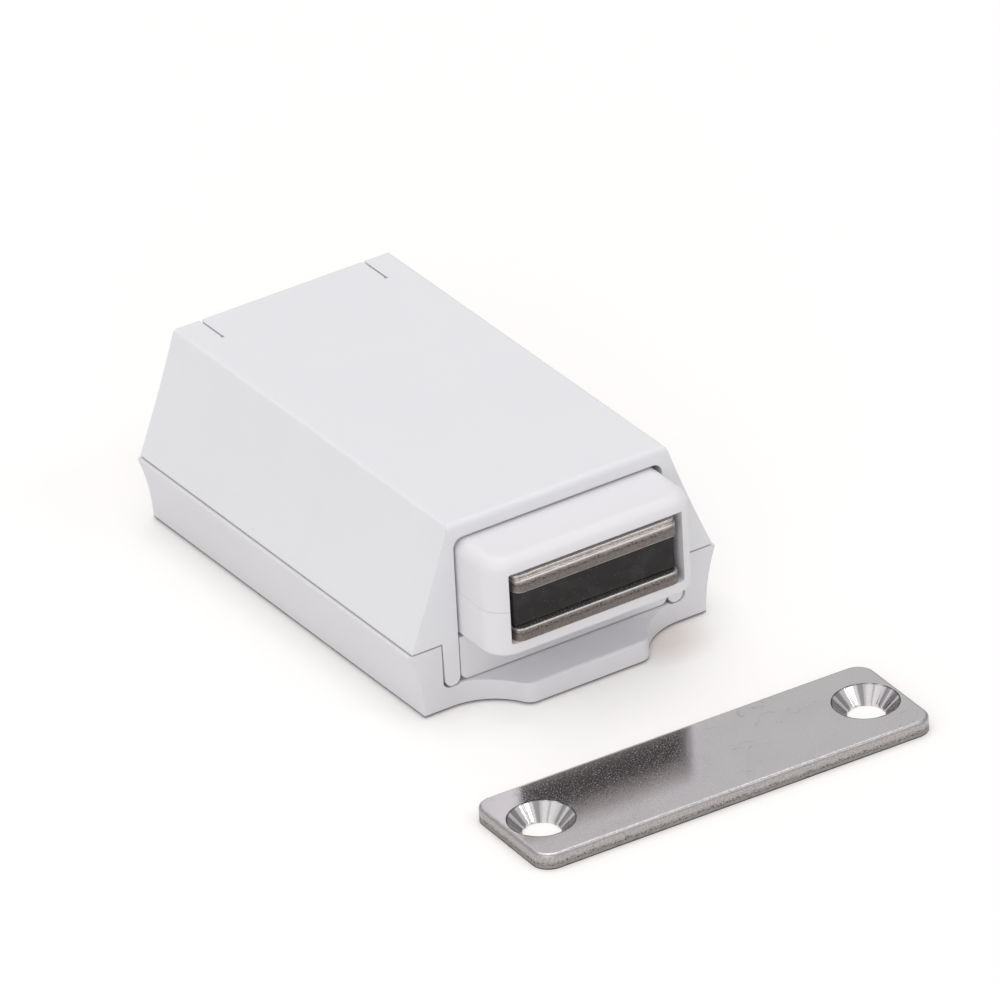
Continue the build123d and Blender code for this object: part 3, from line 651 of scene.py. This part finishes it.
def punched_profile(thick, roll, burr):
    """The section of a punched edge, from its lower rim to its upper one.

    The lower corner is a quarter circle, the wall is straight, and the upper corner
    is a quarter of an ellipse that is four fifths as high as it is wide. A narrow
    flat rim ends it on both sides, so that the flats beyond it shade as flat. Gives
    how far in from the outline, how high, and how much of it is wall at each step.
    """
    turn = np.linspace(0, math.pi / 2, 7)
    wall = np.linspace(burr, thick - ROLL_SHAPE * roll, 14)[1:-1]
    inset = np.concatenate([
        [burr + RIM], burr * (1 - np.sin(turn)), 0 * wall, roll * (1 - np.cos(turn)), [roll + RIM],
    ])
    height = np.concatenate([
        [0.0], burr * (1 - np.cos(turn)), wall, thick - ROLL_SHAPE * roll * (1 - np.sin(turn)), [thick],
    ])
    share = np.concatenate([[0.0], np.sin(turn) ** 6, 0 * wall + 1, np.cos(turn) ** 4, [0.0]])
    return inset, height, share


def closed_noise(count, rows, along, up, seed):
    """Smooth noise that closes on itself: random values, blurred by a bell curve each way."""
    raw = np.random.default_rng(seed).normal(size=(count, rows))
    waves = np.fft.fftfreq(count)[:, None] * along
    rises = np.fft.fftfreq(rows)[None, :] * up
    bell = np.exp(-2 * math.pi ** 2 * (waves ** 2 + rises ** 2))
    soft = np.fft.ifft2(np.fft.fft2(raw) * bell).real
    return soft / soft.std()


print("outline and profile ready")

# %% [markdown]
# The flat top and bottom of a plate lie between the edge of the profile and the
# holes. A grid doesn't fit round holes, so these flats are filled with triangles
# between the points that are already there, and the triangles in a hole dropped.

# %% Grids and flats
def grid_faces(count, rows, start, inward=False):
    """The four-cornered faces of a grid that closes on itself along its first side."""
    here = start + np.arange(count)[:, None] * rows + np.arange(rows - 1)[None, :]
    ahead = start + ((np.arange(count) + 1) % count)[:, None] * rows + np.arange(rows - 1)[None, :]
    quads = np.stack([here, ahead, ahead + 1, here + 1], -1).reshape(-1, 4)
    return quads[:, ::-1] if inward else quads


def fill_flat(points, loops, holes, down=False):
    """Triangles over a flat area bounded by closed loops of points, without its holes.

    Each loop is the numbers of its points in order; a hole is its centre and radius.
    """
    used = np.concatenate(loops)
    edges = []
    first = 0
    for loop in loops:
        ring = np.arange(len(loop)) + first
        edges += np.stack([ring, np.roll(ring, -1)], 1).tolist()
        first += len(loop)
    flat = [Vector(p) for p in points[used, :2]]
    made = delaunay_2d_cdt(flat, edges, [], 1, 1e-7)
    triangles = np.array(made[2])
    middle = points[used][triangles][:, :, :2].mean(1)
    keep = np.ones(len(triangles), bool)
    for centre, radius in holes:
        keep &= np.linalg.norm(middle - centre, axis=1) > radius
    triangles = used[triangles[keep]]
    return triangles[:, ::-1] if down else triangles


SHARP_FROM = math.radians(32)


def make_piece(name, points, faces, material, numbers, body, node):
    """Puts points in millimetres and faces into a mesh and fits the piece to the frame.

    A piece without a body is attached to no body.
    """
    mesh = bpy.data.meshes.new(name)
    mesh.from_pydata((points * MM).tolist(), [], [f.tolist() for group in faces for f in group])
    mesh.polygons.foreach_set("use_smooth", np.ones(len(mesh.polygons), bool))
    mesh.set_sharp_from_angle(angle=SHARP_FROM)
    for key, values in numbers.items():
        layer = mesh.attributes.new(key, "FLOAT", "POINT")
        layer.data.foreach_set("value", values.astype(np.float32))
    mesh.materials.append(material)
    mesh.validate()
    piece = bpy.data.objects.new(name, mesh)
    bpy.context.scene.collection.objects.link(piece)
    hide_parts(node)
    if body:
        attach(piece, body)
    print(name, "points", len(mesh.vertices), "faces", len(mesh.polygons))
    return piece


RING = 180
LIP_DROP = 0.10
LIP_REACH = 0.14


def punched_plate(low, high, thick, radii, roll, burr, tears, seed, holes=(), step=0.12):
    """Points, faces and wall numbers of a punched plate that lies on z = 0.

    A point of the rim is the outline's point, moved in by the profile's inset and by
    a tear that grows towards the lower half of the wall. Round each hole a second
    profile is carried: up the bore, out along the cone of the sink, over its lip.
    """
    outline, way_out, walked = plate_outline(low, high, radii, step)
    inset, height, share = punched_profile(thick, roll, burr)
    count, rows = len(outline), len(inset)
    tear = np.clip(closed_noise(count, rows, 1.6, 1.0, seed), 0, 2.5)
    scratch = np.clip(closed_noise(count, rows, 0.9, 6.0, seed + 1), 0, 2.0)
    lower = np.clip(1.5 - 2 * height / thick, 0, 1)
    back = inset + share * tears * (tear * lower + 0.35 * scratch)
    rim = np.empty((count, rows, 3))
    rim[:, :, :2] = outline[:, None, :] - way_out[:, None, :] * back[:, :, None]
    rim[:, :, 2] = height
    points = [rim.reshape(-1, 3)]
    faces = [grid_faces(count, rows, 0)]
    wall = [np.tile(share, count)]
    along = [np.repeat(walked, rows)]
    top_loops = [np.arange(count) * rows + rows - 1]
    low_loops = [np.arange(count) * rows]
    start = count * rows
    for centre, bore, sink in holes:
        lip = np.linspace(0, math.pi / 4, 5)
        cone = np.linspace(bore, sink - LIP_DROP, 12)
        over = sink - LIP_DROP + LIP_REACH * np.sin(lip[1:]) / np.sin(lip[-1])
        radius = np.concatenate([[bore], cone, over, [over[-1] + RIM]])
        rounded = thick - LIP_DROP + LIP_DROP * np.sin(2 * lip[1:])
        level = np.concatenate([[0.0], thick - sink + cone, rounded, [thick]])
        turn = np.arange(RING) * 2 * math.pi / RING
        ring = np.empty((RING, len(radius), 3))
        ring[:, :, 0] = centre[0] + np.cos(turn)[:, None] * radius
        ring[:, :, 1] = centre[1] + np.sin(turn)[:, None] * radius
        ring[:, :, 2] = level
        points.append(ring.reshape(-1, 3))
        faces.append(grid_faces(RING, len(radius), start, inward=True))
        wall.append(np.zeros(RING * len(radius)))
        along.append(np.zeros(RING * len(radius)))
        top_loops.append(start + np.arange(RING) * len(radius) + len(radius) - 1)
        low_loops.append(start + np.arange(RING) * len(radius))
        start += RING * len(radius)
    points = np.concatenate(points)
    faces.append(fill_flat(points, top_loops, [(np.array(c), k) for c, b, k in holes]))
    faces.append(fill_flat(points, low_loops, [(np.array(c), b) for c, b, k in holes], down=True))
    numbers = {"wall": np.concatenate(wall), "along": np.concatenate(along), "up": points[:, 2].copy()}
    return points, faces, numbers


print("plate maker ready")

# %% [markdown]
# ### Strike plate
#
# The plate that goes on the door: 2 mm steel, punched from above, then countersunk
# on a drill press and plated bright. It lies a little turned in front of the latch.

# %% Strike plate
strike_points, strike_faces, strike_numbers = punched_plate(
    (-27.0, -7.85), (27.0, 7.85), 2.0, (2.3, 2.3, 2.3, 2.3),
    roll=0.52, burr=0.08, tears=0.03, seed=11,
    holes=[((side * HOLE_FROM_MIDDLE, 0.0), 2.3, 4.0) for side in (-1, 1)],
)
turned = np.array([
    [math.cos(strike_turn), math.sin(strike_turn)],
    [-math.sin(strike_turn), math.cos(strike_turn)],
])
strike_points[:, :2] = strike_points[:, :2] @ turned + strike_middle
strike = make_piece(
    "punched_strike_plate", strike_points, strike_faces, plated_zinc, strike_numbers,
    "housing", "strike_plate",
)

# %% [markdown]
# ### Pole plates
#
# Two thick plates and a thin one carry the magnet's field to the strike plate. They
# are punched with a blunter tool than the strike plate, so more of their wall is
# torn, and it is left brown and streaked. Each takes its place from its CAD node.

# %% Pole plates
POLE_CORNERS = (1.2, 1.2, 0.6, 0.6)


def pole_piece(name, node, finish, roll, burr, seed):
    """A punched plate with rounded front corners, in the place of its CAD node."""
    low, high = [np.array(corner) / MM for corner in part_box(node)]
    points, faces, numbers = punched_plate(
        low[:2], high[:2], high[2] - low[2], POLE_CORNERS, roll, burr, 0.02, seed, step=0.09,
    )
    points[:, 2] += low[2]
    return make_piece(name, points, faces, finish, numbers, "plunger", node)


pole_piece("punched_upper_pole", "upper_pole_plate", plated_nickel, 0.46, 0.24, 21)
pole_piece("punched_lower_pole", "lower_pole_plate", plated_nickel, 0.34, 0.20, 33)
pole_piece("punched_backing_plate", "upper_backing_plate", lightened_thin_nickel, 0.24, 0.12, 47)

# %% [markdown]
# ### Magnet
#
# Ferrite is brittle, so a pressed block has rounded edges with small chips. Each
# face is a grid, and a point near an edge is pulled in onto a ball of that edge's
# radius. The radius wanders along the edge, and where it is large there is a chip.

# %% Magnet
def wandering(place, seed):
    """A smooth value from about -1 to 1 over space: eight sine waves in random directions."""
    rng = np.random.default_rng(seed)
    waves = rng.normal(size=(8, 3)) * np.array([0.9, 1.6, 1.6])
    phases = rng.uniform(0, 2 * math.pi, 8)
    return np.sin(place @ waves.T + phases).mean(-1) * 2.0


EDGE_RADIUS = 0.16
CHIP_DEPTH = 0.16


def chipped_block(low, high, step, seed):
    """Points and faces of a box with rounded, chipped edges.

    A point of the box's surface is held back inside a smaller box, and set off from
    there by the edge radius: held point plus radius times the unit way between them.
    """
    middle, half = (low + high) / 2, (high - low) / 2
    points, faces, start = [], [], 0
    for axis in range(3):
        u, v = (axis + 1) % 3, (axis + 2) % 3
        nu, nv = [max(6, round(2 * half[k] / step)) for k in (u, v)]
        ease_u, ease_v = [-np.cos(np.linspace(0, math.pi, n + 1)) for n in (nu, nv)]
        for side in (-1, 1):
            flat = np.empty((nu + 1, nv + 1, 3))
            flat[:, :, u] = (0.5 * ease_u + 0.5 * np.linspace(-1, 1, nu + 1))[:, None] * half[u]
            flat[:, :, v] = (0.5 * ease_v + 0.5 * np.linspace(-1, 1, nv + 1))[None, :] * half[v]
            flat[:, :, axis] = side * half[axis]
            flat = flat.reshape(-1, 3)
            radius = EDGE_RADIUS + CHIP_DEPTH * np.clip(wandering(flat, seed) - 0.2, 0, 1)[:, None]
            held = np.clip(flat, -(half - radius), half - radius)
            off = flat - held
            points.append(middle + held + radius * off / np.linalg.norm(off, axis=1, keepdims=True))
            here = start + np.arange(nu)[:, None] * (nv + 1) + np.arange(nv)[None, :]
            quads = np.stack([here, here + nv + 1, here + nv + 2, here + 1], -1).reshape(-1, 4)
            faces.append(quads if side > 0 else quads[:, ::-1])
            start += (nu + 1) * (nv + 1)
    return np.concatenate(points), faces


magnet_low, magnet_high = [np.array(corner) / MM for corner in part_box("magnet")]
block_points, block_faces = chipped_block(magnet_low, magnet_high, 0.28, 5)
block = make_piece("chipped_magnet", block_points, block_faces, ferrite, {}, "plunger", "magnet")
seams = bmesh.new()
seams.from_mesh(block.data)
bmesh.ops.remove_doubles(seams, verts=seams.verts, dist=0.002 * MM)
seams.to_mesh(block.data)
seams.free()
print("magnet closed, points", len(block.data.vertices))

# %% [markdown]
# ### Return springs
#
# Each spring is wound from 0.6 mm wire, with its last turn at each end laid close
# and ground flat, so that it pushes squarely. A Screw modifier would wind it evenly;
# here the rise of each turn is a value of its own, so the ends can close. The spring
# lies between the plunger and the housing and is attached to neither.

# %% Return springs
WIRE_RADIUS = 0.3
WIRE_SIDES = 12


def wound_spring(low, high, wire, turns, steps):
    """Points and faces of a coil spring along Y with closed, ground ends.

    With t the turns wound so far, the wire's middle is at
        x = cx + R cos(2 pi t), y = the sum of the rises so far, z = cz + R sin(2 pi t).
    The rise is the wire's own thickness in the first and last turn, and even between.
    """
    middle = (low + high) / 2
    radius = (high[0] - low[0]) / 2 - wire
    wound = np.linspace(0, turns, steps * turns + 1)
    from_end = np.minimum(wound, turns - wound)
    opening = np.clip((from_end - 0.9) / 0.5, 0, 1)
    total = (high[1] - low[1]) - wire
    flat_rise = 2.05 * wire / steps
    open_rise = (total - flat_rise * len(wound)) / opening.sum()
    rise = np.concatenate([[0.0], np.cumsum(flat_rise + open_rise * opening)[:-1]])
    rise *= total / rise[-1]
    angle = 2 * math.pi * wound
    outwards = np.stack([np.cos(angle), np.zeros_like(angle), np.sin(angle)], 1)
    centre = np.array([middle[0], low[1] + wire / 2, middle[2]]) + radius * outwards
    centre[:, 1] += rise
    ahead = np.gradient(centre, axis=0)
    ahead /= np.linalg.norm(ahead, axis=1, keepdims=True)
    across = np.cross(ahead, outwards)
    around = np.arange(WIRE_SIDES) * 2 * math.pi / WIRE_SIDES
    ring = np.cos(around)[None, :, None] * outwards[:, None] + np.sin(around)[None, :, None] * across[:, None]
    points = centre[:, None, :] + wire * ring
    points[:, :, 1] = np.clip(points[:, :, 1], low[1], high[1])
    rows = len(centre)
    here = np.arange(rows - 1)[:, None] * WIRE_SIDES + np.arange(WIRE_SIDES)[None, :]
    beside = np.arange(rows - 1)[:, None] * WIRE_SIDES + (np.arange(WIRE_SIDES) + 1)[None, :] % WIRE_SIDES
    walls = np.stack([here, beside, beside + WIRE_SIDES, here + WIRE_SIDES], -1).reshape(-1, 4)
    first = np.arange(WIRE_SIDES)[::-1][None, :]
    last = (np.arange(WIRE_SIDES) + (rows - 1) * WIRE_SIDES)[None, :]
    return points.reshape(-1, 3), [walls, first, last]


for hand in ("left", "right"):
    name, node = f"wound_{hand}_spring", f"{hand}_return_spring"
    spring_low, spring_high = [np.array(corner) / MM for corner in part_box(node)]
    coil_points, coil_faces = wound_spring(spring_low, spring_high, WIRE_RADIUS, turns=13, steps=40)
    coil = make_piece(name, coil_points, coil_faces, spring_wire, {}, None, node)
    solid = bmesh.new()
    solid.from_mesh(coil.data)
    print(name, "volume in cubic mm", round(solid.calc_volume(signed=True) / MM ** 3, 2))
    solid.free()
    near_end = ((spring_low + spring_high) / 2 * MM).tolist()
    far_end = list(near_end)
    near_end[1] = spring_low[1] * MM
    far_end[1] = spring_high[1] * MM
    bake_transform(coil)

# %% [markdown]
# ## Floor and light
#
# The studio is white all round. The floor is a pale matt sheet that the camera
# sees at the brightness of paper, marked by the object's own soft shadow. A darker,
# warmer painted shadow lies on the sheet at the tongue's right, and a pool of
# painted light brightens it at its left. A wide lamp overhead makes the tops the
# brightest faces, one at the front left lights the flank and the front, and a small
# high one at the front right gives the metal its glints. The room's own light fills
# the rest.

# %% Floor and light
PAPER = (0.895, 0.875, 0.868, 1.0)
PAINTED_SHADOW_PAPER = (0.70, 0.64, 0.61, 1.0)
PAINTED_SHADOW_SPOT = (12.5, -1.5, 0.0)
PAINTED_LIGHT_SPOT = (-12.0, -5.0, 0.0)


def add_floor():
    """A wide pale sheet on which the latch and the plate lie."""
    half = 8.0
    mesh = bpy.data.meshes.new("floor")
    corners = [(-half, -half, 0), (half, -half, 0), (half, half, 0), (-half, half, 0)]
    mesh.from_pydata(corners, [], [(0, 1, 2, 3)])
    floor = bpy.data.objects.new("floor", mesh)
    bpy.context.scene.collection.objects.link(floor)
    material = bpy.data.materials.new("pale_floor")
    material.use_nodes = True
    material.node_tree.nodes.clear()
    s = Steps(material.node_tree)
    place = in_mm(s)
    # The sheet's colour is darkened and warmed round one spot as a painted shadow.
    painted_shadow_tint = s.blend(s.between(s.distance(place, PAINTED_SHADOW_SPOT), 7.0, 2.0), PAPER, PAINTED_SHADOW_PAPER)
    paper = s.add("ShaderNodeBsdfDiffuse", {"Color": painted_shadow_tint})
    seen = s.add("ShaderNodeLightPath").outputs["Is Camera Ray"]
    # The camera sees the sheet lifted to paper white, and more round a spot at the left as painted light.
    glow = s.sum("MULTIPLY", seen, s.between(s.distance(place, PAINTED_LIGHT_SPOT), 12.0, 3.0, 0.13, 0.20))
    lift = s.add("ShaderNodeEmission", {"Color": (1.0, 0.99, 0.975, 1.0), "Strength": glow})
    both = s.add("ShaderNodeAddShader", {0: paper.outputs[0], 1: lift.outputs[0]})
    s.add("ShaderNodeOutputMaterial", {"Surface": both.outputs[0]})
    mesh.materials.append(material)


def add_world():
    """White for the camera, a soft room for everything else."""
    world = bpy.data.worlds.new("studio")
    bpy.context.scene.world = world
    world.use_nodes = True
    world.node_tree.nodes.clear()
    s = Steps(world.node_tree)
    seen = s.add("ShaderNodeLightPath").outputs["Is Camera Ray"]
    way = s.parts(s.add("ShaderNodeTexCoord").outputs["Generated"])
    by_height = s.between(way[2], -0.1, 0.9, 0.50, 0.79)
    front_to_rear = s.between(way[1], -1.0, 1.0, 1.10, 0.88)
    left_to_right = s.between(way[0], -1.0, 1.0, 1.14, 0.78)
    room = s.sum("MULTIPLY", by_height, s.sum("MULTIPLY", front_to_rear, left_to_right))
    level = s.sum("ADD", s.sum("MULTIPLY", s.sum("SUBTRACT", 1.0, seen), room), seen)
    light = s.add("ShaderNodeBackground", {"Color": (1.0, 1.0, 1.0, 1.0), "Strength": level})
    s.add("ShaderNodeOutputWorld", {"Surface": light.outputs[0]})


def add_lamp(name, size, power, at, towards):
    """A square soft lamp that faces a point."""
    lamp = bpy.data.lights.new(name, "AREA")
    lamp.shape = "SQUARE"
    lamp.size = size
    lamp.energy = power
    holder = bpy.data.objects.new(name, lamp)
    bpy.context.scene.collection.objects.link(holder)
    at = np.array(at)
    back = at - np.array(towards)
    back = back / np.linalg.norm(back)
    side = np.cross((0.0, 0.0, 1.0), back)
    side = side / np.linalg.norm(side)
    over = np.cross(back, side)
    place = Matrix.Identity(4)
    for row in range(3):
        place[row][0] = side[row]
        place[row][1] = over[row]
        place[row][2] = back[row]
        place[row][3] = at[row]
    holder.matrix_world = place


add_floor()
add_world()
add_lamp("overhead", 1.2, 6.7, (0.1, 0.3, 1.5), (0.0, 0.01, 0.01))
add_lamp("front_left", 1.2, 3.9, (-0.9, -0.95, 0.45), (0.0, 0.0, 0.01))
add_lamp("front_high", 0.35, 1.2, (0.68, -0.75, 1.1), (0.0, -0.02, 0.01))
bpy.context.scene.view_settings.view_transform = "Standard"
print("floor, world and lamps made")
